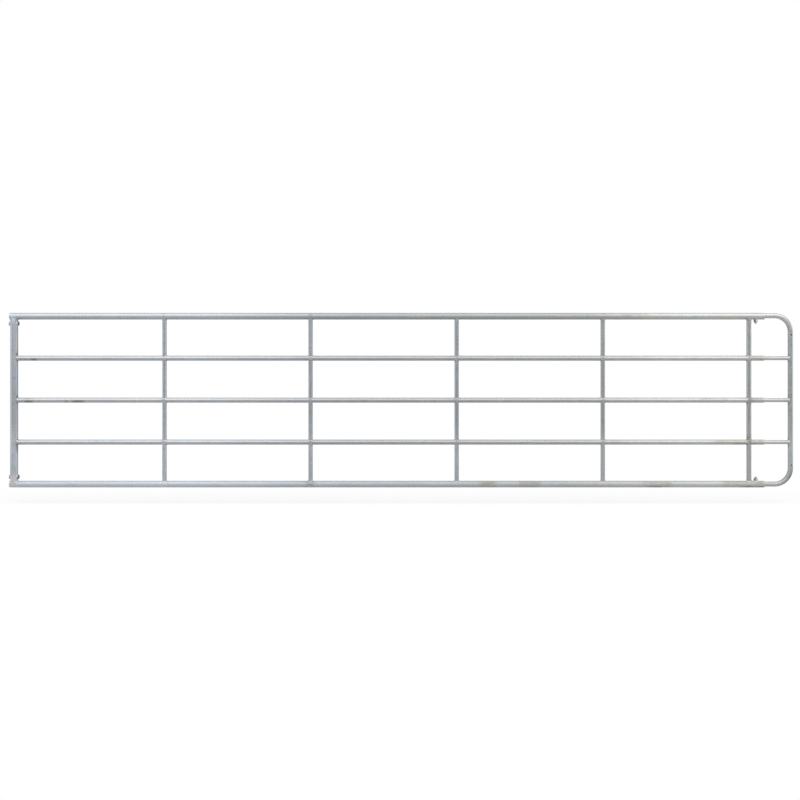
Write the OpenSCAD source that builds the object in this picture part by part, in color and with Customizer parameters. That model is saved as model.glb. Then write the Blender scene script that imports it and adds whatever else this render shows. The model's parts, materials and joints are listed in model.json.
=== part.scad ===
// Adjustable tubular field gate: a welded leaf on two hinge sleeves, and a hoop with three
// rails that slides in the leaf's open tube ends and is held there by two clamp screws.
// Millimetres. X runs from the hinges to the closing end, Z is up, and the front faces -Y.
// The origin is on the stile's axis, in the middle of the lower hinge sleeve.

/* [Gate leaf] */
// Distance from the stile's axis to the end upright's axis
leaf_l = 4692; // [3900:1:6000]
// Distance between the axes of the top and bottom tubes
leaf_h = 1072; // [800:1:1400]
// Distance between the axes of neighbouring uprights
upright_pitch = 933; // [500:1:1100]
// Length of the open sockets past the end upright's axis
socket_l = 97; // [75:1:150]
// Length of the top and bottom tubes past the stile's outer side
heel_l = 2; // [0:0.1:40]

/* [Tubes] */
// Outer diameter of the hinge stile
stile_d = 48.3; // [44:0.1:60.3]
// Wall of the hinge stile
stile_wall = 2.9; // [2:0.1:4]
// Outer diameter of the top and bottom tubes
frame_d = 42.4; // [40:0.1:48.3]
// Wall of the top and bottom tubes
frame_wall = 2; // [1.5:0.1:3]
// Outer diameter of the three rails
rail_d = 32; // [31:0.1:36]
// Wall of the three rails
rail_wall = 2; // [1.5:0.1:2.5]
// Outer diameter of the uprights
upright_d = 28; // [20:0.1:30]
// Outer diameter of the end upright
end_upright_d = 30; // [20:0.1:30.5]
// Wall of the uprights
upright_wall = 2; // [1.5:0.1:3]

/* [Stile ends] */
// How much less deep than the frame tubes the squeezed ends are at the tubes' axes
pinch_less = 3; // [2:0.1:10]
// Distance from a frame tube's axis to where the squeezed faces run out
pinch_l = 46; // [32:1:80]

/* [Hinge sleeves] */
// Outer diameter of the sleeves
sleeve_d = 26.9; // [25:0.1:33.7]
// Bore of the sleeves, for the hinge bolts
sleeve_bore_d = 21.6; // [16:0.1:22]
// Length of the sleeves that stands out of the stile on each side
sleeve_proud = 6; // [2:0.1:30]
// Distance from a sleeve's axis to the side of the nearest frame tube
sleeve_rise = 25.8; // [22:0.1:100]

/* [Vents] */
// Diameter of the cross-drilled vent at the top end of each upright strut
vent_d = 9; // [5:0.1:12]
// Distance from the tube above to the middle of the vent
vent_drop = 3; // [0:0.1:20]

/* [Extension] */
// Length of the hoop's straight legs between the sockets and the corners
pull_out = 66; // [5:1:1000]
// Length of the extension's tubes inside their sockets
insert_l = 1300; // [400:1:2500]
// Wall of the hoop
hoop_wall = 2; // [1.5:0.1:3]
// Radius of the hoop's corners, on the tube's axis
hoop_bend_r = 102; // [60:1:200]
// Wall of the extension's rails
ext_rail_wall = 2; // [1:0.1:3]
// Diameter of the two holes through the hoop's upright
hoop_hole_d = 9; // [6:0.1:14]
// Distance from the end of each corner to the middle of the hole
hoop_hole_gap = 20; // [10:1:200]

/* [Clamps] */
// Distance from the end upright's axis to the clamp screws' axes
clamp_x = 43; // [32:1:60]
// Thread diameter of the clamp screws
screw_d = 16; // [12:0.1:18]
// Width across the flats of the welded nuts
nut_af = 24; // [21:0.1:30]
// Height of the welded nuts above the tube
nut_h = 16; // [8:0.1:25]
// Angle by which the nuts are turned from square to the tube when they are welded on
nut_turn = 20; // [0:1:60]
// Length of bare thread between the nut and the screw's square end
thread_l = 2; // [1:0.1:20]
// Width across the flats of the screws' square ends
head_af = 11.5; // [8:0.1:15]
// Length of the screws' square ends
head_h = 8; // [6:0.1:16]
// Diameter of the screws' points
point_d = 11; // [6:0.1:11.5]
// Length of the screws' points
point_l = 4; // [1:0.1:5]

/* [Fits] */
// How much thinner the hoop is than the bore of the top and bottom tubes
hoop_play = 6.4; // [1.2:0.1:10]
// How much thinner the extension's rails are than the bore of the rails
ext_rail_play = 3; // [1.2:0.1:8]
// Gap between parts that slide on each other
slide_gap = 0.3; // [0.2:0.05:0.6]
// Gap round the screws in the nuts' threads
thread_gap = 0.15; // [0.1:0.05:0.3]
// Gap round the screws where they pass the tube walls
hole_gap = 0.5; // [0.3:0.1:1]
// Gap between the sleeves and the stile before welding
weld_gap = 0.1; // [0.05:0.05:0.3]

/* [Hidden] */
$fn = 96;
hex_sides = 6;
over = 5;

COLUMNS = ["upright_1", "upright_2", "upright_3", "upright_4", "end_upright"];
ROWS = ["bottom", "lower", "upper", "top"];
column_count = len(COLUMNS);
row_count = len(ROWS);

frame_r = frame_d / 2;
lower_z = -frame_r - sleeve_rise;
upper_z = lower_z + leaf_h;
socket_x = leaf_l + socket_l;

pinch_depth = frame_d - pinch_less;
hoop_d = frame_d - 2 * frame_wall - hoop_play;
hoop_r = hoop_d / 2;
ext_rail_d = rail_d - 2 * rail_wall - ext_rail_play;
sleeve_reach = stile_d / 2 + sleeve_proud;
nut_r = nut_af / 2;
nut_corner_r = nut_r / cos(180 / hex_sides);

insert_x = socket_x - insert_l;
hoop_x = socket_x + pull_out + hoop_bend_r;
leg_l = insert_l + pull_out;
// How far the upper leg lies above the top tube's axis, pressed to the bore's upper side
leg_offset = hoop_play / 2 - slide_gap;
// Distance between the axes of the legs: the lower one lies on the bottom tube's axis
hoop_h = leaf_h + leg_offset;
half_upright_l = hoop_h / 2 - hoop_bend_r;

// Heights on a clamp screw's axis, measured inwards from the frame tube's axis
nut_bed_z = sqrt(pow(frame_r, 2) - pow(nut_corner_r, 2));
nut_top_z = frame_r + nut_h;
head_z = nut_top_z + thread_l;

// How far the squeezed faces are drawn past the stile's surface, as a share of their length
pinch_run_share = 1.25;

// Height of a screw's tip, just off the hoop's leg
function screw_tip_z(upper) = hoop_r + slide_gap - (upper ? leg_offset : 0);
// Height of horizontal tube i, from 0, the bottom tube, to row_count, the top tube
function level_z(i) = lower_z + leaf_h * i / row_count;
function is_frame(i) = i == 0 || i == row_count;
function level_d(i) = is_frame(i) ? frame_d : rail_d;
function column_x(c) = leaf_l - (column_count - 1 - c) * upright_pitch;
function column_d(c) = c == column_count - 1 ? end_upright_d : upright_d;
function strut_name(c, r) = str(COLUMNS[c], "_", ROWS[r]);

// A solid bar along X
module bar_x(d, x0, x1) {
    translate([x0, 0, 0])
        rotate([0, 90, 0])
            cylinder(d = d, h = x1 - x0);
}

// A tube along X, open at both ends
module tube_x(d, wall, x0, x1) {
    difference() {
        bar_x(d, x0, x1);
        bar_x(d - 2 * wall, x0 - over, x1 + over);
    }
}

// The space that horizontal tube i takes up, to cope other tubes on
module level_solid(i, x0, x1) {
    translate([0, 0, level_z(i)])
        bar_x(level_d(i), x0, x1);
}

// The stile's form, squeezed front and back towards the frame tubes
module stile_form(d, depth) {
    run = pinch_l * pinch_run_share;
    tip = depth / 2;
    wide = tip + (d / 2 - tip) * pinch_run_share;
    side = [
        [-tip, lower_z],
        [tip, lower_z],
        [wide, lower_z + run],
        [wide, upper_z - run],
        [tip, upper_z],
        [-tip, upper_z],
        [-wide, upper_z - run],
        [-wide, lower_z + run]
    ];
    intersection() {
        translate([0, 0, lower_z])
            cylinder(d = d, h = leaf_h);
        rotate([90, 0, 90])
            translate([0, 0, -d])
                linear_extrude(2 * d)
                    polygon(side);
    }
}

// Places a child on the axis of the lower or the upper hinge sleeve
module at_sleeve(upper) {
    translate([0, 0, upper ? leaf_h - 2 * (frame_r + sleeve_rise) : 0])
        children();
}

// Places a child on a frame tube's axis at the clamp, with its Z towards the gate's middle
module at_clamp(upper) {
    translate([leaf_l + clamp_x, 0, upper ? upper_z : lower_z])
        mirror([0, 0, upper ? 1 : 0])
            children();
}

module hinge_stile() {
    color("lightslategray")
        difference() {
            stile_form(stile_d, pinch_depth);
            stile_form(stile_d - 2 * stile_wall, pinch_depth - 2 * stile_wall);
            level_solid(0, -stile_d, stile_d);
            level_solid(row_count, -stile_d, stile_d);
            for (upper = [false, true])
                at_sleeve(upper)
                    bar_x(sleeve_d + 2 * weld_gap, -stile_d, stile_d);
        }
}

module frame_tube(upper) {
    color("silver")
        difference() {
            translate([0, 0, upper ? upper_z : lower_z])
                tube_x(frame_d, frame_wall, -stile_d / 2 - heel_l, socket_x);
            at_clamp(upper)
                cylinder(d = screw_d + 2 * hole_gap, h = frame_d);
        }
}

module rail(i) {
    color("silver")
        difference() {
            translate([0, 0, level_z(i)])
                tube_x(rail_d, rail_wall, 0, socket_x);
            translate([0, 0, lower_z])
                cylinder(d = stile_d, h = leaf_h);
        }
}

// One short tube between horizontal tubes r and r + 1, coped on both and vented at its top
module strut(c, r) {
    d = column_d(c);
    vent_z = level_z(r + 1) - level_d(r + 1) / 2 - vent_drop;
    color("slategray")
        translate([column_x(c), 0, 0])
            difference() {
                translate([0, 0, level_z(r)])
                    cylinder(d = d, h = level_z(r + 1) - level_z(r));
                translate([0, 0, level_z(r) - over])
                    cylinder(d = d - 2 * upright_wall, h = leaf_h);
                level_solid(r, -d, d);
                level_solid(r + 1, -d, d);
                translate([0, 0, vent_z])
                    bar_x(vent_d, -d, d);
            }
}

module hinge_sleeve(upper) {
    color("darkgray")
        at_sleeve(upper)
            tube_x(sleeve_d, (sleeve_d - sleeve_bore_d) / 2, -sleeve_reach, sleeve_reach);
}

// A cone that takes the corners off a nut or head of half width r, at its end at height z
module corner_cone(r, z) {
    cylinder(r1 = r + z, r2 = r, h = z);
}

// A hexagon nut with its outer corners chamfered, bedded on the round of the tube
module clamp_nut(upper) {
    color("dimgray")
        at_clamp(upper)
            difference() {
                intersection() {
                    translate([0, 0, nut_bed_z])
                        rotate([0, 0, nut_turn])
                            cylinder(r = nut_corner_r, h = nut_top_z - nut_bed_z, $fn = hex_sides);
                    corner_cone(nut_r, nut_top_z);
                }
                bar_x(frame_d, -nut_af, nut_af);
                cylinder(d = screw_d + 2 * thread_gap, h = nut_top_z + over);
            }
}

// A set screw with a reduced point, its outer end cut square and chamfered
module clamp_screw(upper) {
    tip_z = screw_tip_z(upper);
    shank_z = tip_z + point_l;
    head_r = head_af / 2;
    color("gray")
        at_clamp(upper) {
            translate([0, 0, tip_z])
                cylinder(d = point_d, h = point_l);
            translate([0, 0, shank_z])
                cylinder(d = screw_d, h = head_z - shank_z);
            intersection() {
                translate([-head_r, -head_r, head_z])
                    cube([head_af, head_af, head_h]);
                cylinder(d = screw_d, h = head_z + head_h);
                corner_cone(head_r, head_z + head_h);
            }
        }
}

// A quarter bend of the hoop's tube, from +X round to +Z about the origin
module hoop_bend() {
    rotate([90, 0, 0])
        difference() {
            rotate_extrude(angle = 90)
                translate([hoop_bend_r, 0])
                    circle(d = hoop_d);
            rotate_extrude(angle = 90)
                translate([hoop_bend_r, 0])
                    circle(d = hoop_d - 2 * hoop_wall);
        }
}

// Half of the hoop, from the middle of its upright to the inner end of its upper leg
module half_hoop() {
    difference() {
        rotate([0, -90, 0])
            tube_x(hoop_d, hoop_wall, 0, half_upright_l);
        translate([0, -hoop_d, half_upright_l - hoop_hole_gap])
            rotate([-90, 0, 0])
                cylinder(d = hoop_hole_d, h = 2 * hoop_d);
    }
    translate([-hoop_bend_r, 0, half_upright_l]) {
        hoop_bend();
        translate([0, 0, hoop_bend_r])
            tube_x(hoop_d, hoop_wall, -leg_l, 0);
    }
}

// One tube bent into two legs, two round corners and the upright between them
module extension_hoop() {
    color("slategray")
        translate([hoop_x, 0, lower_z + hoop_h / 2]) {
            half_hoop();
            mirror([0, 0, 1])
                half_hoop();
        }
}

module extension_rail(i) {
    color("silver")
        difference() {
            translate([0, 0, level_z(i)])
                tube_x(ext_rail_d, ext_rail_wall, insert_x, hoop_x);
            translate([hoop_x, 0, lower_z])
                cylinder(d = hoop_d, h = leaf_h);
        }
}

hinge_stile();
frame_tube(true);  // top_tube
frame_tube(false);  // bottom_tube
rail(3);  // upper_rail
rail(2);  // middle_rail
rail(1);  // lower_rail
for (c = [0 : column_count - 1])
    for (r = [0 : row_count - 1])
        strut(c, r);
hinge_sleeve(true);  // hinge_sleeve_top
hinge_sleeve(false);  // hinge_sleeve_bottom
clamp_nut(true);  // clamp_nut_top
clamp_nut(false);  // clamp_nut_bottom
clamp_screw(true);  // clamp_screw_top
clamp_screw(false);  // clamp_screw_bottom
extension_hoop();
extension_rail(3);  // extension_rail_upper
extension_rail(2);  // extension_rail_middle
extension_rail(1);  // extension_rail_lower
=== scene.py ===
import json
import math

import bmesh
import bpy
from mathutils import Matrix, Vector, noise


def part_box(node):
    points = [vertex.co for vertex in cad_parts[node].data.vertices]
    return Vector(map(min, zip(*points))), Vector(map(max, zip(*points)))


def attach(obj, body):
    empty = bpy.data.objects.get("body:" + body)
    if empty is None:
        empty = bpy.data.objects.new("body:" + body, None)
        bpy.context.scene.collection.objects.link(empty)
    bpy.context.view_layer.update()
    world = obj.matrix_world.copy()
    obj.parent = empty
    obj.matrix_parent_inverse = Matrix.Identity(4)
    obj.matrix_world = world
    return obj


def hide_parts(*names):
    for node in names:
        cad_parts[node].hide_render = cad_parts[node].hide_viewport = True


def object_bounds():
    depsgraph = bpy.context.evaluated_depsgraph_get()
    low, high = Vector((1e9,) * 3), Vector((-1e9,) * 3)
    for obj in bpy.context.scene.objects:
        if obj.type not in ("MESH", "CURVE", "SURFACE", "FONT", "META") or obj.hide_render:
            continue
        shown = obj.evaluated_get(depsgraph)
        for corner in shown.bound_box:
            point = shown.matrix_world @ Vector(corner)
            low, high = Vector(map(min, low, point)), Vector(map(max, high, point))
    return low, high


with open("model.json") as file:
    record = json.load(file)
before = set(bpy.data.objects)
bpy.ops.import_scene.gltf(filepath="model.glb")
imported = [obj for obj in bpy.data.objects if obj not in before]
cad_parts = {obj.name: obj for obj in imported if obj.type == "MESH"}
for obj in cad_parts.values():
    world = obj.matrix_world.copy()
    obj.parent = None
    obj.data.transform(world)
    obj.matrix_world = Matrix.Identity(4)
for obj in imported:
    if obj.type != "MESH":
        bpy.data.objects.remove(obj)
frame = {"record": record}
cad_box = [list(corner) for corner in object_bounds()]

# Names that the frame uses
LEVELS = ("bottom_tube", "lower_rail", "middle_rail", "upper_rail", "top_tube")
COLUMNS = ("upright_1", "upright_2", "upright_3", "upright_4", "end_upright")
ROWS = ("bottom", "lower", "upper", "top")
EXTENSION_RAILS = ("extension_rail_lower", "extension_rail_middle", "extension_rail_upper")
ENDS = ("bottom", "top")

# Sizes in metres that a node's box doesn't show
TUBE_WALL = 0.002
STILE_WALL = 0.0029
PINCH_LESS = 0.003
PINCH_LENGTH = 0.046
PINCH_CREASE = 0.0016
VENT_R = 0.0045
VENT_DROP = 0.003
HOOP_BEND_R = 0.102
HOOP_HOLE_R = 0.0045
HOOP_HOLE_GAP = 0.020
SLEEVE_GAP = 0.0001
DEBURR = 0.0004

# The set screw: its thread, its round point and its square head
SCREW_R = 0.008
SCREW_PITCH = 0.002
THREAD_DEPTH = 0.0011
THREAD_INSET = 0.0003
POINT_R = 0.0055
POINT_L = 0.004
POINT_CHAMFER = 0.0008
HEAD_L = 0.008
HEAD_HALF = 0.00575
HEAD_CORNER = 0.0008
HEAD_CORNER_SOFT = 0.0012
HEAD_NECK = 0.0002
HEAD_CROWN = 0.0022
HEAD_RIM = 0.0006
CROWN_SHARE = 1.08
RIM_SHARE = 0.92
SCREW_HOLE_GAP = 0.0005
THREAD_GAP = 0.00015

# The welded nut, its flats turned from square to the tube, and its flank next to the end upright, painted
# dark as the upright's shadow
NUT_SIDES = 6
NUT_HALF = 0.012
NUT_BORE_R = SCREW_R + THREAD_GAP
NUT_MOUTH = 0.0008
NUT_CORNER_DROP = 0.0002
NUT_FLAT_SHARE = 0.985
NUT_TURN = math.radians(20)
NUT_SHADED_FLANK = math.radians(-150) + NUT_TURN
NUT_SHADED_FLANK_COS = math.cos(math.radians(28))

# Fineness of the meshes
SEGMENTS = 56
STRUT_SEGMENTS = 48
STILE_SEGMENTS = 72
NUT_SEGMENTS = 72
SCREW_SEGMENTS = 48
DRILL_SEGMENTS = 40
RING_STEP = 0.020
FINE_STEP = 0.006
SLEEVE_STEP = 0.005
PINCH_STEP = 0.003
PINCH_RINGS = 15
BORE_RINGS = 6
BEND_RINGS = 28
THREAD_RINGS = 8
VENT_NUDGE = 0.012
COPE_PASSES = 8
CREASE = math.radians(32)

TAU = 2 * math.pi


# Sizes read from the frame


def span(node):
    """The corners and the middle of a node's box."""
    lo, hi = (Vector(corner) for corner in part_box(node))
    return lo, hi, (lo + hi) / 2


class Level:
    """A horizontal tube."""

    def __init__(self, node):
        lo, hi, mid = span(node)
        self.z = mid.z
        self.r = (hi.z - lo.z) / 2
        self.x0, self.x1 = lo.x, hi.x

    def drop(self, y):
        """How far above or below its axis the tube's surface is at y."""
        return math.sqrt(max(self.r**2 - y**2, 0.0))


class Column:
    """A line of upright struts."""

    def __init__(self, name):
        lo, hi, mid = span(name + "_bottom")
        self.x = mid.x
        self.r = (hi.x - lo.x) / 2


levels = [Level(node) for node in LEVELS]
columns = [Column(name) for name in COLUMNS]
slim_rails = [Level(node) for node in EXTENSION_RAILS]
# The frame tubes at the bottom and the top, and the side of each, up or down, that has a clamp on it
lower, upper = levels[0], levels[-1]
CLAMP_SIDE = {"bottom_tube": 1, "top_tube": -1}

stile_lo, stile_hi, _ = span("hinge_stile")
stile_r = (stile_hi.x - stile_lo.x) / 2
stile_l = upper.z - lower.z
pinch_depth = 2 * lower.r - PINCH_LESS

hoop_lo, hoop_hi, _ = span("extension_hoop")
hoop_r = (hoop_hi.y - hoop_lo.y) / 2
hoop_x = hoop_hi.x - hoop_r
hoop_start_x = hoop_lo.x
bend_x = hoop_x - HOOP_BEND_R
leg_zs = (hoop_lo.z + hoop_r, hoop_hi.z - hoop_r)
bend_zs = (leg_zs[0] + HOOP_BEND_R, leg_zs[1] - HOOP_BEND_R)
hoop_hole_zs = (bend_zs[0] + HOOP_HOLE_GAP, bend_zs[1] - HOOP_HOLE_GAP)

clamp_x = span("clamp_screw_top")[2].x
sleeve_lo, sleeve_hi, _ = span("hinge_sleeve_top")
sleeve_r = (sleeve_hi.y - sleeve_lo.y) / 2
sleeve_reach = sleeve_hi.x
sleeve_zs = [span("hinge_sleeve_" + end)[2].z for end in ENDS]
sleeve_bore_r = frame["record"]["mounts"][0]["dims"]["r_mm"] / 1000


# Meshes


def lerp(a, b, t):
    return a + (b - a) * t


def smoothstep(a, b, x):
    t = min(max((x - a) / (b - a), 0.0), 1.0)
    return t * t * (3 - 2 * t)


def soft_min(a, b, k):
    """The lesser of a and b, with the crease between them rounded over k."""
    h = max(k - abs(a - b), 0.0) / k
    return min(a, b) - h * h * k / 4


def round_angles(count=SEGMENTS, extra=()):
    return sorted({i * TAU / count for i in range(count)} | {a % TAU for a in extra})


def loft(rings, closed=True, caps=False):
    """Vertices and faces of a skin over rings of equal count; closed joins the last to the first."""
    count = len(rings[0])
    verts = [point for ring in rings for point in ring]
    faces = []
    for i in range(len(rings) if closed else len(rings) - 1):
        a = i * count
        b = (i + 1) % len(rings) * count
        for j in range(count):
            k = (j + 1) % count
            faces.append((a + j, a + k, b + k, b + j))
    if caps:
        faces.append(tuple(range(count)))
        faces.append(tuple(range(len(verts) - count, len(verts))))
    return verts, faces


def wall(place, r_out, r_in, start, end, fractions, angles=None):
    """The skin of a hollow tube with broken edges: along the outside, over the rim and back along the bore.

    start and end give the tube's ends at (angle, radius), and place puts (angle, radius, distance) in space.
    """
    angles = angles or round_angles()

    def ring(r, t, shift=0.0):
        points = []
        for a in angles:
            s0, s1 = start(a, r), end(a, r)
            points.append(place(a, r, s0 + (s1 - s0) * t + shift))
        return points

    rings = [ring(r_out, 0, DEBURR)]
    rings += [ring(r_out, t) for t in fractions]
    rings += [ring(r_out, 1, -DEBURR), ring(r_out - DEBURR, 1)]
    rings += [ring(r_in + DEBURR, 1), ring(r_in, 1, -DEBURR)]
    rings += [ring(r_in, 1 - i / BORE_RINGS) for i in range(1, BORE_RINGS)]
    rings += [ring(r_in, 0, DEBURR), ring(r_in + DEBURR, 0), ring(r_out - DEBURR, 0)]
    return loft(rings)


def square_end(x):
    """The end of a tube along x that is cut square."""
    return lambda a, r: x


def coped_end(x, upright_r, side):
    """The end of a tube along x that fits the left (side -1) or the right (side 1) of an upright at x."""
    return lambda a, r: x + side * math.sqrt(upright_r**2 - (r * math.cos(a)) ** 2)


def even(length, step=RING_STEP):
    """Shares of a length that set rings about a step apart."""
    count = max(2, round(length / step))
    return [i / count for i in range(1, count)]


def along_x(z):
    """Places the skin of a tube that runs along x at height z."""
    return lambda a, r, s: (s, r * math.cos(a), z + r * math.sin(a))


def along_z(x):
    """Places the skin of a tube that stands at x."""
    return lambda a, r, s: (x + r * math.cos(a), r * math.sin(a), s)


def new_mesh(name, verts, faces):
    mesh = bpy.data.meshes.new(name)
    mesh.from_pydata([tuple(v) for v in verts], [], faces)
    bm = bmesh.new()
    bm.from_mesh(mesh)
    bmesh.ops.recalc_face_normals(bm, faces=bm.faces)
    bm.to_mesh(mesh)
    bm.free()
    return mesh


def bar_mesh(start, end, radius):
    """A round bar from start to end."""
    axis = (Vector(end) - Vector(start)).normalized()
    u = axis.orthogonal().normalized()
    v = axis.cross(u)
    circle = [radius * (math.cos(a) * u + math.sin(a) * v) for a in round_angles(DRILL_SEGMENTS)]
    rings = [[Vector(point) + spoke for spoke in circle] for point in (start, end)]
    return new_mesh("bar", *loft(rings, closed=False, caps=True))


def drill(mesh, cutters):
    """The mesh with round holes cut by (start, end, radius) bars."""
    part = bpy.data.objects.new("drilled", mesh)
    bpy.context.scene.collection.objects.link(part)
    bars = []
    for start, end, radius in cutters:
        bar = bpy.data.objects.new("bar", bar_mesh(start, end, radius))
        bpy.context.scene.collection.objects.link(bar)
        bars.append(bar)
        cut = part.modifiers.new("hole", "BOOLEAN")
        cut.operation = "DIFFERENCE"
        cut.solver = "EXACT"
        cut.object = bar
    evaluated = part.evaluated_get(bpy.context.evaluated_depsgraph_get())
    result = bpy.data.meshes.new_from_object(evaluated)
    for obj in (part, *bars):
        data = obj.data
        bpy.data.objects.remove(obj)
        bpy.data.meshes.remove(data)
    return result


# Stains: soft windows along a piece, which the materials break up into ragged marks
STAIN_KINDS = ("warm", "dull", "pale")
STAIN_FEATHER = 0.02
STAIN_EDGE = 0.006


class Stain:
    """A mark of one kind from lo to hi along a piece, in metres.

    below_share keeps it under a height, given as a share of a level tube's radius above its axis.
    """

    def __init__(self, kind, lo, hi, amount, below_share=None):
        self.kind, self.lo, self.hi, self.amount, self.below_share = kind, lo, hi, amount, below_share

    def strength(self, s, height, r):
        """How strong the mark is at s along the piece, at a height above a tube's axis; r is its radius."""
        rise = smoothstep(self.lo - STAIN_FEATHER, self.lo + STAIN_FEATHER, s)
        fall = 1 - smoothstep(self.hi - STAIN_FEATHER, self.hi + STAIN_FEATHER, s)
        side = 1.0
        if self.below_share is not None:
            edge = self.below_share * r
            side = 1 - smoothstep(edge - STAIN_EDGE, edge + STAIN_EDGE, height)
        return self.amount * rise * fall * side


STAINS = {
    "hinge_stile": [Stain("pale", -0.05, 0.01, 1.0)],
    "top_tube": [
        Stain("dull", 0.026, 0.040, 0.7),
        Stain("warm", 3.87, 4.06, 0.5),
        Stain("pale", 4.05, 4.79, 0.1),
        Stain("warm", 4.55, 4.79, 0.3),
    ],
    "upper_rail": [
        Stain("dull", 0.02, 0.10, 0.6, below_share=0.0),
        Stain("dull", 0.10, 0.155, 1.0, below_share=0.0),
        Stain("warm", 4.70, 4.79, 0.7),
    ],
    "middle_rail": [
        Stain("dull", 0.02, 0.13, 0.35),
        Stain("dull", 0.06, 0.13, 0.95, below_share=0.0),
        Stain("dull", 0.32, 0.35, 1.0, below_share=0.125),
        Stain("dull", 0.37, 0.46, 1.0, below_share=0.125),
        Stain("warm", 4.36, 4.56, 0.5),
        Stain("warm", 4.67, 4.79, 0.75),
    ],
    "lower_rail": [
        Stain("warm", 4.44, 4.69, 0.6),
        Stain("warm", 4.57, 4.70, 0.9, below_share=0.0625),
        Stain("warm", 4.67, 4.79, 0.7),
        Stain("dull", 4.71, 4.75, 0.6, below_share=0.0625),
    ],
    "bottom_tube": [
        Stain("pale", -0.04, 0.02, 1.0),
        Stain("dull", 1.85, 1.93, 0.56),
        Stain("warm", 2.955, 3.075, 0.72),
        Stain("dull", 3.035, 3.085, 0.55, below_share=-0.236),
        Stain("warm", 3.215, 3.37, 0.62),
        Stain("dull", 3.22, 3.25, 0.5, below_share=-0.236),
        Stain("warm", 4.00, 4.20, 0.6),
        Stain("dull", 4.04, 4.14, 0.9, below_share=-0.519),
        Stain("warm", 4.51, 4.79, 0.65),
        Stain("dull", 4.63, 4.79, 0.9, below_share=-0.519),
    ],
    "end_upright_lower": [
        Stain("warm", 0.455, 0.49, 1.0),
        Stain("dull", 0.455, 0.49, 0.8),
        Stain("warm", 0.20, 0.36, 0.5),
        Stain("dull", 0.235, 0.275, 0.8),
    ],
    "end_upright_bottom": [Stain("warm", -0.04, 0.22, 0.65), Stain("dull", 0.10, 0.21, 0.45)],
    "hinge_sleeve_bottom": [Stain("pale", -0.04, -0.01, 1.0)],
    "welds_stile": [Stain("dull", 0.18, 0.80, 0.6)],
    "welds_end_upright": [
        Stain("warm", 0.18, 0.27, 0.9),
        Stain("dull", 0.18, 0.27, 0.6),
        Stain("warm", 0.45, 0.48, 0.9),
        Stain("dull", 0.45, 0.52, 0.7),
        Stain("dull", 0.72, 0.80, 0.5),
    ],
}

# How dull each tube is where the uprights cross it, from the hinge end on
CROSSING_HALF = 0.018
CROSSING_DULL = {
    "top_tube": (0.50, 0.60, 0.0, 0.50, 0.0),
    "upper_rail": (0.0, 0.30, 0.42, 0.58, 0.62),
    "middle_rail": (0.53, 0.56, 0.53, 0.66, 0.74),
    "lower_rail": (0.63, 0.56, 0.46, 0.72, 0.68),
}
for node, amounts in CROSSING_DULL.items():
    for column, amount in zip(columns, amounts):
        STAINS[node].append(Stain("dull", column.x - CROSSING_HALF, column.x + CROSSING_HALF, amount))


def paint_stains(mesh, name):
    """Puts each kind of stain on the mesh as an attribute of its points."""
    lo = [min(vertex.co[i] for vertex in mesh.vertices) for i in range(3)]
    hi = [max(vertex.co[i] for vertex in mesh.vertices) for i in range(3)]
    along = max(range(3), key=lambda i: hi[i] - lo[i])
    axis_z = (lo[2] + hi[2]) / 2
    r = (hi[2] - lo[2]) / 2
    for kind in STAIN_KINDS:
        layer = mesh.attributes.new(kind, "FLOAT", "POINT")
        marks = [stain for stain in STAINS.get(name, ()) if stain.kind == kind]
        if not marks:
            continue
        for vertex, value in zip(mesh.vertices, layer.data):
            value.value = max(mark.strength(vertex.co[along], vertex.co.z - axis_z, r) for mark in marks)


# Dark smoke that welding leaves on an upright beside a joint: how far it reaches above and below the rail
SMOKE_AMOUNT = 0.85
SMOKE_REACH = {"lower_rail": (0.012, 0.075), "middle_rail": (0.034, 0.014), "upper_rail": (0.036, 0.016)}
EXTENSION_SMOKE = (0.030, 0.030)
# Shares of the upright's radius between which the smoke sets in, at the rail and at the end of its reach
SMOKE_NEAR_SHARES = (0.45, 0.8)
SMOKE_FAR_SHARES = (0.8, 1.0)
# Shares of its reach over which it fades out
SMOKE_FADE_SHARES = (0.4, 1.0)


def smoke_joints(mesh, x, side_r, joints):
    """Smokes the side of an upright at x that faces its rails, given as (height, radius, (rise, fall))."""
    for vertex, value in zip(mesh.vertices, mesh.attributes["dull"].data):
        outward = (vertex.co.x - x) / side_r
        for z, r, (rise, fall) in joints:
            gap = math.hypot(vertex.co.y, vertex.co.z - z) - r
            away = gap / (rise if vertex.co.z > z else fall)
            sets_in = [lerp(near, far, away) for near, far in zip(SMOKE_NEAR_SHARES, SMOKE_FAR_SHARES)]
            smoke = SMOKE_AMOUNT * smoothstep(*sets_in, outward) * (1 - smoothstep(*SMOKE_FADE_SHARES, away))
            value.value = max(value.value, smoke)


# Materials


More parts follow.
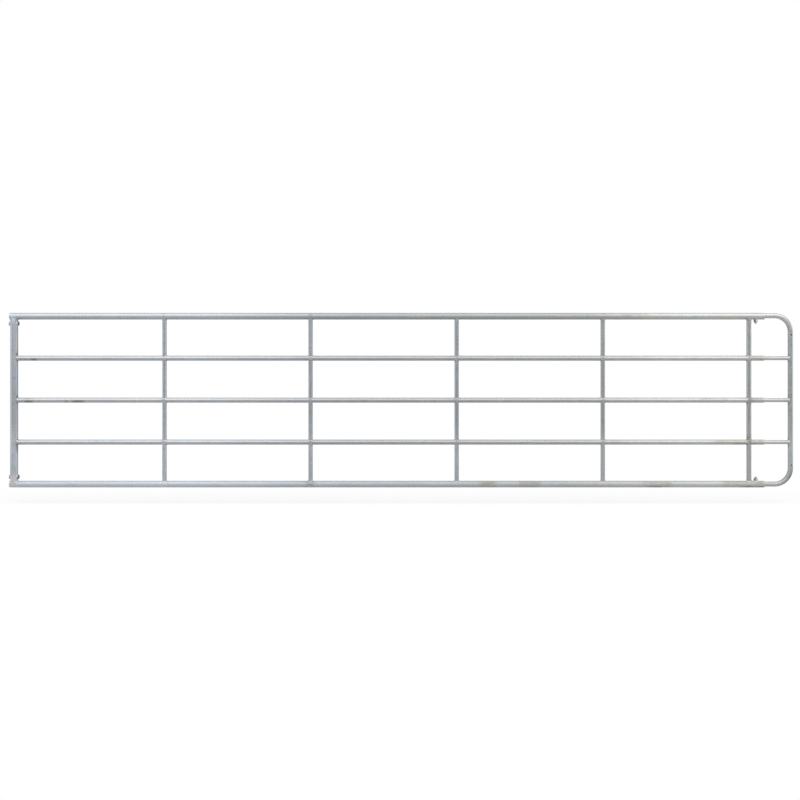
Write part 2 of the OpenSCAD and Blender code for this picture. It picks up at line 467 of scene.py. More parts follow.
class Nodes:
    """A short way to add and join the nodes of one material."""

    def __init__(self, tree):
        self.tree = tree
        tree.nodes.clear()

    def put(self, socket, value):
        """Joins a socket to another node's output, or gives it a plain value."""
        if hasattr(value, "is_output"):
            self.tree.links.new(value, socket)
        else:
            socket.default_value = value

    def add(self, kind, inputs=(), **settings):
        node = self.tree.nodes.new("ShaderNode" + kind)
        for name, value in settings.items():
            setattr(node, name, value)
        for key, value in dict(inputs).items():
            self.put(node.inputs[key], value)
        return node

    def math(self, operation, a, b=0.0, clamp=False):
        return self.add("Math", {0: a, 1: b}, operation=operation, use_clamp=clamp).outputs[0]

    def remap(self, value, from_lo, from_hi, to_lo, to_hi):
        inputs = {"Value": value, "From Min": from_lo, "From Max": from_hi, "To Min": to_lo, "To Max": to_hi}
        return self.add("MapRange", inputs, interpolation_type="SMOOTHSTEP").outputs["Result"]

    def noise(self, place, scale, detail, roughness):
        inputs = {"Vector": place, "Scale": scale, "Detail": detail, "Roughness": roughness}
        return self.add("TexNoise", inputs).outputs[0]

    def mix(self, factor, a, b, blend="MIX"):
        """Mixes two colours; the numbers are the sockets that the node keeps for colours."""
        node = self.add("Mix", {0: factor, 6: a, 7: b}, data_type="RGBA", blend_type=blend)
        return node.outputs[2]


# Where along the gate the zinc turns from its cool to its warm tone, in metres
TONE_DRIFT = (1.2, 4.6)
# Where along the gate the zinc turns dull and where it brightens again, and how much darker it is between
DULL_RISE = (1.0, 2.2)
DULL_FALL = (3.5, 4.4)
DULL_LOSS = 0.17
# Heights over which uprights are painted paler towards the ground, as light bounced up from the floor
FLOOR_BOUNCE_HEIGHTS = (0.17, 0.40)
# Heights over which the hoop changes its tone towards its lower and its upper corner
HOOP_FOOT_RISE = (0.00, 0.09)
HOOP_TOP_RISE = (0.90, 1.01)

# Noise in the zinc: scale, detail and roughness of each layer, and how the runs stretch along a piece
RUNS = (3.0, 6.0, 0.62)
RAGS = (9.0, 5.0, 0.7)
CLOUDS = (21.0, 4.0, 0.55)
HUES = (11.0, 3.0, 0.5)
FINE_GRAIN = (900.0, 3.0, 0.6)
SPANGLE_SCALE = 290.0
STRETCH = {"x": (2.2, 26, 26), "z": (26, 26, 2.2), "none": (14, 14, 14)}
# The middle of a noise, and the low and the high end of each as it is used
NOISE_MIDDLE = 0.5
RUN_WINDOW = (0.3, 0.7)
CLOUD_WINDOW = (0.32, 0.68)
GLOSS_WINDOW = (0.3, 0.7)
HUE_WINDOW = (0.38, 0.62)
MARK_WINDOW = (0.12, 0.58)
# How dark and how light each layer makes the zinc
RUN_TONES = (0.95, 1.04)
CLOUD_TONES = (0.965, 1.03)
FLAKE_TONES = (0.94, 1.06)
COOL_CLOUD = (0.983, 1.0, 1.02, 1)
WARM_CLOUD = (1.017, 1.0, 0.98, 1)

# Stains: how far a mesh's stain outweighs its rags, the colour of each kind and how much of it shows
STAIN_WEIGHT = 0.5
STAIN_COLOUR = {
    "warm": (0.25, 0.238, 0.20, 1),
    "dull": (0.13, 0.135, 0.14, 1),
    "pale": (0.435, 0.42, 0.43, 1),
}
STAIN_COVER = {"warm": 0.85, "dull": 0.95, "pale": 0.85}

# Gloss: spread of the roughness over the clouds and the spangle, and what dullness and stains add to it
CLOUD_GLOSS = (-0.03, 0.04)
FLAKE_GLOSS = 0.08
DULL_GLOSS = 0.5
STAIN_GLOSS = 0.22
MATT_METAL_LOSS = 1.6
EDGE_TINT = (0.55, 0.55, 0.55, 1)

# Relief: weights of the fine grain and of the runs beside the clouds, and its depth in metres
FINE_RELIEF = 0.25
RUN_RELIEF = 0.6
RELIEF_DEPTH = 0.0012


def tone_along_gate(n, axes, cool, warm):
    """Cool at the hinge end and warm at the closing end."""
    return n.mix(n.remap(axes["X"], *TONE_DRIFT, 0, 1), (*cool, 1), (*warm, 1))


def tone_of_hoop(n, axes, cool, warm):
    """Cool on the hoop's upright, dark at its lower corner and warm at its upper leg."""
    foot = n.mix(n.remap(axes["X"], bend_x, hoop_x, 0, 1), (*HOOP_FOOT, 1), (*HOOP_CORNER, 1))
    tone = n.mix(n.remap(axes["Z"], *HOOP_FOOT_RISE, 1, 0), (*cool, 1), foot)
    return n.mix(n.remap(axes["Z"], *HOOP_TOP_RISE, 0, 1), tone, (*warm, 1))


def zinc_layers(n, place, grain):
    """The noises that the zinc's colour, gloss and relief share."""
    stretched = n.add("Mapping", {"Vector": place, "Scale": STRETCH[grain]}).outputs[0]
    spangle = n.add("TexVoronoi", {"Vector": place, "Scale": SPANGLE_SCALE, "Randomness": 1.0}, feature="F1")
    return {
        "runs": n.noise(stretched, *RUNS),
        "rags": n.noise(stretched, *RAGS),
        "clouds": n.noise(place, *CLOUDS),
        "hues": n.noise(place, *HUES),
        "fine": n.noise(place, *FINE_GRAIN),
        "flake": n.add("SeparateColor", {0: spangle.outputs["Color"]}).outputs[0],
    }


def zinc_marks(n, layers):
    """How much each kind of stain covers, with ragged edges."""
    marks = {}
    for kind in STAIN_KINDS:
        amount = n.add("Attribute", attribute_name=kind).outputs["Fac"]
        rags = n.math("SUBTRACT", layers["rags"], NOISE_MIDDLE)
        reach = n.math("ADD", n.math("MULTIPLY", amount, STAIN_WEIGHT), rags)
        marks[kind] = n.remap(reach, *MARK_WINDOW, 0, 1)
    return marks


def zinc_colour(n, colour, axes, layers, marks, dull_middle, pale):
    """The zinc's plain colour with its runs, clouds, spangle and stains, and painted floor-bounce light near
    the ground.
    """
    tone = n.math("SUBTRACT", n.remap(layers["runs"], *RUN_WINDOW, *RUN_TONES), dull_middle)
    # painted light: paler towards the ground, standing in for light bounced up from the floor
    tone = n.math("ADD", tone, n.remap(axes["Z"], *FLOOR_BOUNCE_HEIGHTS, pale, 0))
    tone = n.math("MULTIPLY", tone, n.remap(layers["clouds"], *CLOUD_WINDOW, *CLOUD_TONES))
    tone = n.math("MULTIPLY", tone, n.remap(layers["flake"], 0, 1, *FLAKE_TONES))
    shade = n.add("CombineColor", {0: tone, 1: tone, 2: tone}).outputs[0]
    colour = n.mix(1.0, colour, shade, blend="MULTIPLY")
    hue = n.mix(n.remap(layers["hues"], *HUE_WINDOW, 0, 1), COOL_CLOUD, WARM_CLOUD)
    colour = n.mix(1.0, colour, hue, blend="MULTIPLY")
    for kind in STAIN_KINDS:
        colour = n.mix(n.math("MULTIPLY", marks[kind], STAIN_COVER[kind]), colour, STAIN_COLOUR[kind])
    return colour


def zinc_gloss(n, rough, metal, axes, layers, marks, dull_middle, foot_dull):
    """The zinc's roughness and how metallic it is."""
    spoiled = n.math("MAXIMUM", n.math("MAXIMUM", marks["warm"], marks["dull"]), marks["pale"])
    roughness = n.remap(layers["clouds"], *GLOSS_WINDOW, *(rough + shift for shift in CLOUD_GLOSS))
    flake = n.math("MULTIPLY", n.math("SUBTRACT", layers["flake"], NOISE_MIDDLE), FLAKE_GLOSS)
    roughness = n.math("ADD", roughness, flake)
    roughness = n.math("ADD", roughness, n.math("MULTIPLY", dull_middle, DULL_GLOSS))
    foot = n.remap(axes["Z"], *HOOP_FOOT_RISE, foot_dull, 0)
    matt = n.math("ADD", n.math("MULTIPLY", spoiled, STAIN_GLOSS), foot)
    roughness = n.math("ADD", roughness, matt, clamp=True)
    metallic = n.math("SUBTRACT", metal, n.math("MULTIPLY", matt, MATT_METAL_LOSS), clamp=True)
    return roughness, metallic


def zinc_relief(n, layers, bump):
    """The zinc's bumpy skin."""
    height = n.math("ADD", n.math("MULTIPLY", layers["fine"], FINE_RELIEF), layers["clouds"])
    height = n.math("ADD", height, n.math("MULTIPLY", layers["runs"], RUN_RELIEF))
    return n.add("Bump", {"Height": height, "Strength": bump, "Distance": RELIEF_DEPTH}).outputs[0]


def galvanised(
    name, cool, warm, rough, grain="none", metal=0.88, bump=0.05,
    tone_at=tone_along_gate, loss=DULL_LOSS, pale=0.0, foot_dull=0.0,
):
    """Hot-dip zinc: spangle, cloudy patches, runs along the grain, and the stains that the mesh carries.

    loss is how much darker the zinc is in the gate's middle, pale how much painted floor-bounce light
    lightens it near the ground, and foot_dull how much of its gloss is gone at the hoop's foot.
    """
    material = bpy.data.materials.new(name)
    material.use_nodes = True
    n = Nodes(material.node_tree)
    place = n.add("TexCoord").outputs["Object"]
    axes = n.add("SeparateXYZ", {0: place}).outputs
    layers = zinc_layers(n, place, grain)
    marks = zinc_marks(n, layers)
    dull_rise, dull_fall = (n.remap(axes["X"], *reach, 0, loss) for reach in (DULL_RISE, DULL_FALL))
    dull_middle = n.math("SUBTRACT", dull_rise, dull_fall)
    plain = tone_at(n, axes, cool, warm)
    roughness, metallic = zinc_gloss(n, rough, metal, axes, layers, marks, dull_middle, foot_dull)
    shader = n.add(
        "BsdfPrincipled",
        {
            "Base Color": zinc_colour(n, plain, axes, layers, marks, dull_middle, pale),
            "Roughness": roughness,
            "Metallic": metallic,
            "Specular Tint": EDGE_TINT,
            "Normal": zinc_relief(n, layers, bump),
        },
    )
    n.put(n.add("OutputMaterial").inputs["Surface"], shader.outputs[0])
    return material


COOL_ZINC = (0.338, 0.359, 0.385)
WARM_ZINC = (0.372, 0.382, 0.379)
COOL_BOTTOM = (0.384, 0.416, 0.462)
WARM_BOTTOM = (0.386, 0.397, 0.399)
COOL_STILE = (0.268, 0.289, 0.318)
COOL_UPRIGHT = (0.262, 0.282, 0.306)
WARM_UPRIGHT = (0.248, 0.260, 0.269)
SCREW_GREY = (0.284, 0.288, 0.296)
NUT_ZINC = (0.398, 0.405, 0.414)
COOL_HOOP = (0.243, 0.257, 0.264)
WARM_HOOP = (0.370, 0.378, 0.382)
HOOP_FOOT = (0.245, 0.252, 0.250)
HOOP_CORNER = (0.143, 0.148, 0.149)

zinc_rail = galvanised("zinc_along_x", COOL_ZINC, WARM_ZINC, rough=0.34, grain="x")
zinc_top = galvanised("zinc_top_tube", COOL_ZINC, WARM_ZINC, rough=0.39, grain="x", loss=0.23)
zinc_bottom = galvanised(
    "zinc_bottom_tube", COOL_BOTTOM, WARM_BOTTOM, rough=0.55, grain="x", metal=0.62, loss=0.13
)
# pale paints floor-bounce light on the feet of the uprights, the stile and the hoop
zinc_strut = galvanised(
    "zinc_along_z", COOL_UPRIGHT, WARM_UPRIGHT, rough=0.23, grain="z", loss=0.10, pale=0.27
)
zinc_stile = galvanised("zinc_stile", COOL_STILE, COOL_STILE, rough=0.34, grain="z", pale=0.24)
zinc_hoop = galvanised(
    "zinc_hoop", COOL_HOOP, WARM_HOOP, rough=0.27, tone_at=tone_of_hoop, pale=0.36, foot_dull=0.16
)
zinc_slim = galvanised("zinc_extension_rail", COOL_ZINC, WARM_ZINC, rough=0.42, grain="x", metal=0.78)
zinc_weld = galvanised("zinc_weld", COOL_ZINC, WARM_ZINC, rough=0.38, bump=0.5)
zinc_fitting = galvanised("zinc_fitting", COOL_UPRIGHT, WARM_UPRIGHT, rough=0.40, bump=0.4)
zinc_nut = galvanised("zinc_nut", NUT_ZINC, NUT_ZINC, rough=0.35, bump=0.3)
screw_steel = galvanised("screw_steel", SCREW_GREY, SCREW_GREY, rough=0.40, bump=0.3)


# Pieces


def add_piece(name, mesh, body, material, node=None):
    obj = bpy.data.objects.new(name, mesh)
    bpy.context.scene.collection.objects.link(obj)
    mesh.shade_smooth()
    mesh.set_sharp_from_angle(angle=CREASE)
    mesh.materials.clear()
    mesh.materials.append(material)
    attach(obj, body)
    paint_stains(mesh, node or name)
    if node:
        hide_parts(node)
    return obj


def stand_in(node, geometry, body, material, cutters=()):
    """A finer piece in the place of a CAD node."""
    name = "zinc_" + node
    mesh = new_mesh(name, *geometry)
    if cutters:
        mesh = drill(mesh, cutters)
    return add_piece(name, mesh, body, material, node)


# Frame tubes, drilled for the clamp screws, and rails, coped on the stile
LEVEL_ZINC = {"bottom_tube": zinc_bottom, "top_tube": zinc_top}
for level, node in zip(levels, LEVELS):
    start = coped_end(0, stile_r, 1)
    cutters = []
    if node in CLAMP_SIDE:
        start = square_end(level.x0)
        hole_end = level.z + CLAMP_SIDE[node] * 2 * level.r
        cutters = [((clamp_x, 0, level.z), (clamp_x, 0, hole_end), SCREW_R + SCREW_HOLE_GAP)]
    geometry = wall(
        along_x(level.z),
        level.r,
        level.r - TUBE_WALL,
        start,
        square_end(level.x1),
        even(level.x1 - level.x0),
    )
    stand_in(node, geometry, "leaf", LEVEL_ZINC.get(node, zinc_rail), cutters)


# Upright struts, coped on the tubes below and above and vented at the top


def vent_angles(r):
    """Angles just inside and outside the edges of the two vents in a strut of radius r."""
    edge = math.asin(VENT_R / r)
    turns = [sign * (edge + nudge) for sign in (1, -1) for nudge in (-VENT_NUDGE, VENT_NUDGE)]
    return [side + a for side in (0, math.pi) for a in turns]


def strut_geometry(column, below, above):
    vent_z = above.z - above.r - VENT_DROP

    def start(a, r):
        return below.z + below.drop(r * math.sin(a))

    def end(a, r):
        y = r * math.sin(a)
        top = above.z - above.drop(y)
        if abs(y) < VENT_R:
            top = min(top, vent_z - math.sqrt(VENT_R**2 - y**2))
        return top

    angles = round_angles(STRUT_SEGMENTS, vent_angles(column.r))
    fractions = even(above.z - below.z)
    return wall(along_z(column.x), column.r, column.r - TUBE_WALL, start, end, fractions, angles)


for column, name in zip(columns, COLUMNS):
    for row, below, above in zip(ROWS, levels, levels[1:]):
        geometry = strut_geometry(column, below, above)
        stand_in(name + "_" + row, geometry, "leaf", zinc_strut)


# Hinge stile, its ends squeezed front and back and coped on the frame tubes


def stile_point(a, r, s):
    """A point of the stile: round in the middle, and flatter front and back the nearer its ends."""
    tip = pinch_depth / 2 - (stile_r - r)
    near = min(s - lower.z, upper.z - s)
    depth = tip + (r - tip) * near / PINCH_LENGTH
    y = r * math.sin(a)
    return r * math.cos(a), math.copysign(soft_min(abs(y), depth, PINCH_CREASE), y), s


def stile_end(level, inward):
    """The stile's end, found by passes that settle on the frame tube's surface."""

    def end(a, r):
        s = level.z + inward * level.r
        for _ in range(COPE_PASSES):
            s = level.z + inward * level.drop(stile_point(a, r, s)[1])
        return s

    return end


# Shares of the stile's length between which its rings are evenly spaced
STILE_MIDDLE_SHARES = (0.05, 0.95)
stile_start, stile_stop = stile_end(lower, 1), stile_end(upper, -1)
end_fractions = [i * PINCH_STEP / stile_l for i in range(1, PINCH_RINGS + 1)]
middle_fractions = [lerp(*STILE_MIDDLE_SHARES, t) for t in even(stile_l, FINE_STEP)]
stile_fractions = end_fractions + middle_fractions + [1 - t for t in reversed(end_fractions)]
stile_geometry = wall(
    stile_point,
    stile_r,
    stile_r - STILE_WALL,
    stile_start,
    stile_stop,
    stile_fractions,
    round_angles(STILE_SEGMENTS),
)
stile_cutters = [((-2 * stile_r, 0, z), (2 * stile_r, 0, z), sleeve_r + SLEEVE_GAP) for z in sleeve_zs]
stile = stand_in("hinge_stile", stile_geometry, "leaf", zinc_stile, stile_cutters)
stile_joints = [(level.z, level.r, SMOKE_REACH[node]) for level, node in zip(levels[1:-1], LEVELS[1:-1])]
smoke_joints(stile.data, 0, stile_r, stile_joints)

for end_name, z in zip(ENDS, sleeve_zs):
    geometry = wall(
        along_x(z),
        sleeve_r,
        sleeve_bore_r,
        square_end(-sleeve_reach),
        square_end(sleeve_reach),
        even(2 * sleeve_reach, SLEEVE_STEP),
    )
    stand_in("hinge_sleeve_" + end_name, geometry, "leaf", zinc_fitting)


# Extension: the hoop follows its bent axis, and the rails are coped on its upright


def hoop_path():
    """Stations on the hoop's axis, from the lower leg's inner end to the upper one's: point and normal."""
    leg_rings = round((bend_x - hoop_start_x) / RING_STEP)
    upright_rings = round((bend_zs[1] - bend_zs[0]) / FINE_STEP)

    def bend(z, start):
        for i in range(BEND_RINGS):
            a = start + math.pi / 2 * i / BEND_RINGS
            out = (math.cos(a), math.sin(a))
            yield (bend_x + HOOP_BEND_R * out[0], z + HOOP_BEND_R * out[1]), out

    stations = []
    for i in range(leg_rings):
        stations.append(((lerp(hoop_start_x, bend_x, i / leg_rings), leg_zs[0]), (0, -1)))
    stations += bend(bend_zs[0], -math.pi / 2)
    for i in range(upright_rings):
        stations.append(((hoop_x, lerp(*bend_zs, i / upright_rings)), (1, 0)))
    stations += bend(bend_zs[1], 0.0)
    for i in range(leg_rings + 1):
        stations.append(((lerp(bend_x, hoop_start_x, i / leg_rings), leg_zs[1]), (0, 1)))
    return stations


def hoop_geometry():
    stations = hoop_path()
    angles = round_angles()

    def ring(r, station, shift=0.0):
        (x, z), (nx, nz) = station
        return [
            (x + shift + r * math.cos(a) * nx, r * math.sin(a), z + r * math.cos(a) * nz) for a in angles
        ]

    first, last = stations[0], stations[-1]
    rings = [ring(hoop_r, first, DEBURR)] + [ring(hoop_r, s) for s in stations[1:-1]]
    rings += [ring(hoop_r, last, DEBURR), ring(hoop_r - DEBURR, last)]
    bore = hoop_r - TUBE_WALL
    rings += [ring(bore + DEBURR, last), ring(bore, last, DEBURR)]
    rings += [ring(bore, s) for s in reversed(stations[1:-1])]
    rings += [ring(bore, first, DEBURR), ring(bore + DEBURR, first), ring(hoop_r - DEBURR, first)]
    return loft(rings)


hoop_cutters = [((hoop_x, -2 * hoop_r, z), (hoop_x, 2 * hoop_r, z), HOOP_HOLE_R) for z in hoop_hole_zs]
hoop = stand_in(
    "extension_hoop", hoop_geometry(), "extension", zinc_hoop, hoop_cutters
)
smoke_joints(hoop.data, hoop_x, -hoop_r, [(rail.z, rail.r, EXTENSION_SMOKE) for rail in slim_rails])

for rail, node in zip(slim_rails, EXTENSION_RAILS):
    geometry = wall(
        along_x(rail.z),
        rail.r,
        rail.r - TUBE_WALL,
        square_end(rail.x0),
        coped_end(hoop_x, hoop_r, -1),
        even(rail.x1 - rail.x0),
    )
    stand_in(node, geometry, "extension", zinc_slim)


# Clamps: a welded hexagon nut and a square-ended set screw on each frame tube


def clamp_place(level, inward):
    """Places the skin of a clamp's pieces by their height from the frame tube's axis."""
    return lambda a, r, h: (clamp_x + r * math.cos(a), r * math.sin(a), level.z + inward * h)


def bed(level, a, r):
    """Height of the round tube under a point of the nut."""
    return level.drop(r * math.sin(a))


def hexagon_r(a):
    """Radius of the nut at an angle."""
    side = TAU / NUT_SIDES
    return NUT_HALF / math.cos((a - NUT_TURN) % side - side / 2)


def nut_geometry(level, inward, top):
    place = clamp_place(level, inward)
    angles = round_angles(NUT_SEGMENTS)
    rings = [
        [place(a, hexagon_r(a), bed(level, a, hexagon_r(a))) for a in angles],
        [place(a, hexagon_r(a), top - (hexagon_r(a) - NUT_HALF) - NUT_CORNER_DROP) for a in angles],
        [place(a, NUT_HALF * NUT_FLAT_SHARE, top) for a in angles],
        [place(a, NUT_BORE_R + NUT_MOUTH, top) for a in angles],
        [place(a, NUT_BORE_R, top - NUT_MOUTH) for a in angles],
        [place(a, NUT_BORE_R, bed(level, a, NUT_BORE_R)) for a in angles],
    ]
    return loft(rings)


def paint_flank_shadow(mesh):
    """Paints shade into the dull stain on the nut's flank next to the end upright: a painted shadow of the
    upright.
    """
    for vertex, value in zip(mesh.vertices, mesh.attributes["dull"].data):
        a = math.atan2(vertex.co.y, vertex.co.x - clamp_x)
        if math.cos(a - NUT_SHADED_FLANK) > NUT_SHADED_FLANK_COS:
            value.value = 1.0


def thread_r(a, h):
    """Radius of the screw's thread, a rounded ridge that climbs one pitch a turn."""
    phase = (h / SCREW_PITCH - a / TAU) % 1.0
    return SCREW_R - THREAD_DEPTH * (0.5 + 0.5 * math.cos(TAU * phase))


def head_r(a, h):
    """Radius of the screw's square head, with rounded corners."""
    reach = HEAD_HALF / max(abs(math.cos(a)), abs(math.sin(a)))
    return soft_min(reach, min(HEAD_HALF * math.sqrt(2) - HEAD_CORNER, SCREW_R), HEAD_CORNER_SOFT)


def round_r(r):
    """A radius that is the same all round."""
    return lambda a, h: r


def screw_geometry(level, inward, tip, head_end):
    place = clamp_place(level, inward)
    angles = round_angles(SCREW_SEGMENTS)
    shank, head = tip + POINT_L, head_end - HEAD_L
    profile = [
        (round_r(POINT_R - POINT_CHAMFER), tip),
        (round_r(POINT_R), tip + POINT_CHAMFER),
        (round_r(POINT_R), shank),
    ]
    thread_rings = round((head - shank) / SCREW_PITCH * THREAD_RINGS)
    for i in range(thread_rings + 1):
        profile.append((thread_r, lerp(shank + THREAD_INSET, head - THREAD_INSET, i / thread_rings)))
    profile += [
        (round_r(SCREW_R - THREAD_DEPTH), head - HEAD_NECK),
        (head_r, head),
        (head_r, head_end - HEAD_CROWN),
        (lambda a, h: min(head_r(a, h), HEAD_HALF * CROWN_SHARE), head_end - HEAD_RIM),
        (round_r(HEAD_HALF * RIM_SHARE), head_end),
    ]
    rings = [[place(a, radius(a, h), h) for a in angles] for radius, h in profile]
    return loft(rings, closed=False, caps=True)


for end_name, level, inward in zip(ENDS, (lower, upper), CLAMP_SIDE.values()):
    lo, hi, _ = span("clamp_nut_" + end_name)
    nut_top = max(abs(lo.z - level.z), abs(hi.z - level.z))
    geometry = nut_geometry(level, inward, nut_top)
    nut = stand_in("clamp_nut_" + end_name, geometry, "leaf", zinc_nut)
    # paints the end upright's shadow on the nut's flank as dull stain
    paint_flank_shadow(nut.data)
    lo, hi, _ = span("clamp_screw_" + end_name)
    tip, head_end = sorted((abs(lo.z - level.z), abs(hi.z - level.z)))
    geometry = screw_geometry(level, inward, tip, head_end)
    stand_in("clamp_screw_" + end_name, geometry, end_name + "_clamp", screw_steel)


# Welds: rippled beads swept along the lines where the tubes meet, each of a half width and a height
STRUT_BEAD = (0.0036, 0.0026)
STILE_BEAD = (0.0040, 0.0030)
SLEEVE_BEAD = (0.0024, 0.0018)
NUT_BEAD = (0.0026, 0.0020)
SLIM_BEAD = (0.0032, 0.0023)
BEAD_STEP = 0.0009
BEAD_SIDES = 10
LEAST_STATIONS = 8
BEAD_LIFT = 0.4
# The ripples' share of a bead's size and their pitch
RIPPLE_SHARE = 0.10
RIPPLE_PITCH = 0.0028
# Each wobble's share of a bead's size, its waves a metre, and where its noise is taken
WOBBLES = ((0.22, 90, 7.31, 0.5), (0.16, 330, 1, 4.2))
# How thin an open bead is at its ends, and over how many steps it swells
BEAD_END_SHARE = 0.35
BEAD_END_STEPS = 3
# Seeds that keep beads in like places from looking alike
COLUMN_SEED = 10
HANGING_SEED = 0.5
NUT_SEED = 3


class Welds:
    """Collects the beads of one piece."""

    def __init__(self):
        self.verts, self.faces = [], []

    def bead(self, curve, width, height, closed=True, seed=0):
        """Sweeps a bead along curve, a list of (point, outward direction)."""
        points = [Vector(p) for p, _ in curve]
        outs = [Vector(o).normalized() for _, o in curve]
        count = len(points)
        base = len(self.verts)
        run = 0.0
        for i, (point, out) in enumerate(zip(points, outs)):
            before = points[i - 1] if closed or i else point
            after = points[(i + 1) % count] if closed or i + 1 < count else point
            ahead = (after - before).normalized()
            side = ahead.cross(out).normalized()
            run += (point - before).length if i else 0.0
            size = 1 + RIPPLE_SHARE * (run / RIPPLE_PITCH % 1.0 - 0.5)
            for share, waves, row, lane in WOBBLES:
                size += share * noise.noise((run * waves, seed * row, lane))
            if not closed:
                size *= lerp(BEAD_END_SHARE, 1, smoothstep(0, BEAD_END_STEPS, min(i, count - 1 - i)))
            for j in range(BEAD_SIDES):
                a = j * TAU / BEAD_SIDES
                rise = BEAD_LIFT + (1 - BEAD_LIFT) * math.sin(a)
                self.verts.append(point + (side * math.cos(a) * width + out * rise * height) * size)
        for i in range(count if closed else count - 1):
            a, b = base + i * BEAD_SIDES, base + (i + 1) % count * BEAD_SIDES
            for j in range(BEAD_SIDES):
                k = (j + 1) % BEAD_SIDES
                self.faces.append((a + j, a + k, b + k, b + j))
        if not closed:
            self.faces.append(tuple(range(base, base + BEAD_SIDES)))
            last = base + (count - 1) * BEAD_SIDES
            self.faces.append(tuple(range(last, last + BEAD_SIDES)))

    def piece(self, name, body):
        add_piece(name, new_mesh(name, self.verts, self.faces), body, zinc_weld)


def turn(r, start=0.0, stop=TAU):
    """Angles a bead step apart on a circle of radius r."""
    count = max(LEAST_STATIONS, round(r * (stop - start) / BEAD_STEP))
    full = stop - start >= TAU
    return [start + (stop - start) * i / (count if full else count - 1) for i in range(count)]


def on_level(level, a, point):
    """A station of a weld on a level tube, at an angle round what stands on it."""
    point = Vector(point)
    normal = Vector((math.cos(a), math.sin(a), 0)) + Vector((0, point.y, point.z - level.z)) / level.r
    return point, normal


def strut_weld(column, level, side, angles):
    """Where a strut stands on a level (side 1) or hangs from it (side -1)."""
    curve = []
    for a in angles:
        y = column.r * math.sin(a)
        point = (column.x + column.r * math.cos(a), y, level.z + side * level.drop(y))
        curve.append(on_level(level, a, point))
    return curve


def cope_weld(r, z, upright_x, upright_r, side):
    """Where a tube of radius r at height z meets the left (side -1) or the right (side 1) of an upright."""
    curve = []
    for a in turn(r):
        y, rise = r * math.cos(a), r * math.sin(a)
        x = side * math.sqrt(upright_r**2 - y**2)
        normal = Vector((x, y, 0)) / upright_r + Vector((0, y, rise)) / r
        curve.append(((upright_x + x, y, z + rise), normal))
    return curve


for column, name in zip(columns, COLUMNS):
    welds = Welds()
    gap = math.asin(VENT_R / column.r)
    for i, (below, above) in enumerate(zip(levels, levels[1:])):
        seed = column.x * COLUMN_SEED + i
        welds.bead(strut_weld(column, below, 1, turn(column.r)), *STRUT_BEAD, seed=seed)
        for half in (0, math.pi):
            angles = turn(column.r, half + gap, half + math.pi - gap)
            curve = strut_weld(column, above, -1, angles)
            welds.bead(curve, *STRUT_BEAD, closed=False, seed=seed + HANGING_SEED + half)
    welds.piece("welds_" + name, "leaf")

welds = Welds()
for end, level in ((stile_start, lower), (stile_stop, upper)):
    curve = [on_level(level, a, stile_point(a, stile_r, end(a, stile_r))) for a in turn(stile_r)]
    welds.bead(curve, *STILE_BEAD, seed=level.z)
for level in levels[1:-1]:
    welds.bead(cope_weld(level.r, level.z, 0, stile_r, 1), *STRUT_BEAD, seed=level.z)
for sleeve_z in sleeve_zs:
    for side in (-1, 1):
        welds.bead(cope_weld(sleeve_r, sleeve_z, 0, stile_r, side), *SLEEVE_BEAD, seed=sleeve_z + side)
welds.piece("welds_stile", "leaf")

welds = Welds()
for level, inward in zip((lower, upper), CLAMP_SIDE.values()):
    place = clamp_place(level, inward)
    curve = []
    for a in turn(NUT_HALF):
        r = hexagon_r(a)
        curve.append(on_level(level, a, place(a, r, bed(level, a, r))))
    welds.bead(curve, *NUT_BEAD, seed=level.z + NUT_SEED)
welds.piece("welds_clamps", "leaf")

welds = Welds()
for rail in slim_rails:
    welds.bead(cope_weld(rail.r, rail.z, hoop_x, hoop_r, -1), *SLIM_BEAD, seed=rail.z)
welds.piece("welds_extension", "extension")


# Set: a pale floor, a white surround, soft lights and the camera

# The point that the camera looks at, and half the gate's length
VIEW_MIDDLE = Vector((2.464, 0, 0.490))
gate_half = (cad_box[1][0] - cad_box[0][0]) / 2

FLOOR_DROP = 0.10
FLOOR_HALF = 30.0
FLOOR_TONES = ((0.78, 0.79, 0.81, 1), (0.80, 0.81, 0.83, 1))
FLOOR_GRAIN = {"Scale": 0.8, "Detail": 3.0}
FLOOR_FINISH = {"Roughness": 0.9, "Specular IOR Level": 0.1}
# Distances from the gate over which the floor turns into the white surround, and how white it is near it
FLOOR_FADE = (0.25, 1.2)
FLOOR_WHITE_SHARE = 0.72

WHITE = {"Color": (1, 1, 1, 1), "Strength": 1.0}
AMBIENT = {"Color": (0.97, 0.985, 1, 1), "Strength": 0.45}


def seen_rays(n):
    """1 for the rays that show the surround itself, and 0 for those that light the gate from it."""
    path = n.add("LightPath").outputs
    seen = n.math("MAXIMUM", path["Is Camera Ray"], path["Is Glossy Ray"])
    return n.math("MAXIMUM", seen, path["Is Transmission Ray"])


def floor_material():
    material = bpy.data.materials.new("pale_floor")
    material.use_nodes = True
    n = Nodes(material.node_tree)
    place = n.add("TexCoord").outputs["Object"]
    grain = n.add("TexNoise", {"Vector": place, **FLOOR_GRAIN}).outputs[0]
    matt = n.add("BsdfPrincipled", {"Base Color": n.mix(grain, *FLOOR_TONES), **FLOOR_FINISH})
    white = n.add("Emission", WHITE)
    axes = n.add("SeparateXYZ", {0: place}).outputs
    from_middle = n.math("ABSOLUTE", n.math("SUBTRACT", axes["X"], VIEW_MIDDLE.x))
    past_end = n.math("MAXIMUM", n.math("SUBTRACT", from_middle, gate_half), 0.0)
    away = n.add("CombineXYZ", {0: past_end, 1: axes["Y"]}).outputs[0]
    away = n.add("VectorMath", {0: away}, operation="LENGTH").outputs["Value"]
    fade = n.math("MULTIPLY", n.remap(away, *FLOOR_FADE, FLOOR_WHITE_SHARE, 1), seen_rays(n))
    surface = n.add("MixShader", {0: fade, 1: matt.outputs[0], 2: white.outputs[0]})
    n.put(n.add("OutputMaterial").inputs["Surface"], surface.outputs[0])
    return material


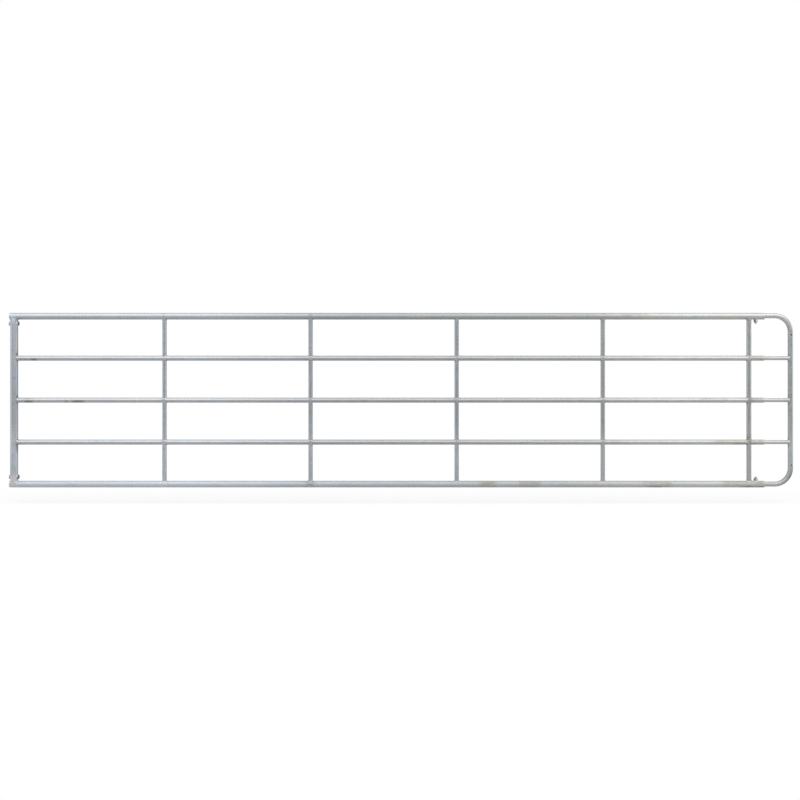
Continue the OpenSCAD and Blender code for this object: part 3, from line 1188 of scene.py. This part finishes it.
floor_z = cad_box[0][2] - FLOOR_DROP
floor_corners = ((-1, -1), (1, -1), (1, 1), (-1, 1))
floor_mesh = new_mesh(
    "floor", [(sx * FLOOR_HALF, sy * FLOOR_HALF, floor_z) for sx, sy in floor_corners], [(0, 1, 2, 3)]
)
floor = bpy.data.objects.new("floor", floor_mesh)
bpy.context.scene.collection.objects.link(floor)
floor_mesh.materials.append(floor_material())

world = bpy.data.worlds.new("surround")
world.use_nodes = True
bpy.context.scene.world = world
world_nodes = Nodes(world.node_tree)
white = world_nodes.add("Background", WHITE)
ambient = world_nodes.add("Background", AMBIENT)
both = world_nodes.add(
    "MixShader", {0: seen_rays(world_nodes), 1: ambient.outputs[0], 2: white.outputs[0]}
)
world_nodes.put(world_nodes.add("OutputWorld").inputs["Surface"], both.outputs[0])


def soft_light(name, size, radiance, place, aim, colour=(1, 1, 1)):
    """A rectangular lamp of an even radiance."""
    data = bpy.data.lights.new(name, "AREA")
    data.color = colour
    data.shape = "RECTANGLE"
    data.size, data.size_y = size
    data.energy = radiance * math.pi * size[0] * size[1]
    lamp = bpy.data.objects.new(name, data)
    bpy.context.scene.collection.objects.link(lamp)
    lamp.location = place
    lamp.rotation_euler = (Vector(aim) - Vector(place)).to_track_quat("-Z", "Y").to_euler()


# A canopy that rises from behind the camera to over the gate
CANOPY_LOW = Vector((VIEW_MIDDLE.x, -9.0, 2.5))
CANOPY_HIGH = Vector((VIEW_MIDDLE.x, 0.6, 5.0))
CANOPY_WIDTH = 14.0
CANOPY_RADIANCE = 1.68
CANOPY_COLOUR = (1.0, 0.978, 0.935)
canopy_middle = (CANOPY_LOW + CANOPY_HIGH) / 2
canopy_run = CANOPY_HIGH - CANOPY_LOW
canopy_aim = canopy_middle + canopy_run.cross(Vector((1, 0, 0))).normalized()
canopy_size = (CANOPY_WIDTH, canopy_run.length)
soft_light("canopy", canopy_size, CANOPY_RADIANCE, canopy_middle, canopy_aim, CANOPY_COLOUR)

# A tall panel past each end of the gate, brighter at the closing end
PANEL_SIZE = (6.0, 3.2)
PANEL_REACH = 7.5
PANEL_Z = 1.6
PANEL_RADIANCE = {-1: 1.35, 1: 1.6}
for side, radiance in PANEL_RADIANCE.items():
    panel = (VIEW_MIDDLE.x + side * PANEL_REACH, 0, PANEL_Z)
    soft_light("side_panel", PANEL_SIZE, radiance, panel, (VIEW_MIDDLE.x, 0, PANEL_Z))

CAMERA_DISTANCE = 6.5
VIEW_WIDTH = 5.109
SENSOR_WIDTH_MM = 36.0
camera_data = bpy.data.cameras.new("camera")
camera = bpy.data.objects.new("camera", camera_data)
bpy.context.scene.collection.objects.link(camera)
camera_data.sensor_fit = "HORIZONTAL"
camera_data.sensor_width = SENSOR_WIDTH_MM
camera_data.lens = SENSOR_WIDTH_MM * CAMERA_DISTANCE / VIEW_WIDTH
camera.location = (VIEW_MIDDLE.x, -CAMERA_DISTANCE, VIEW_MIDDLE.z)
camera.rotation_euler = (math.pi / 2, 0, 0)
bpy.context.scene.camera = camera
bpy.context.scene.view_settings.view_transform = "Standard"
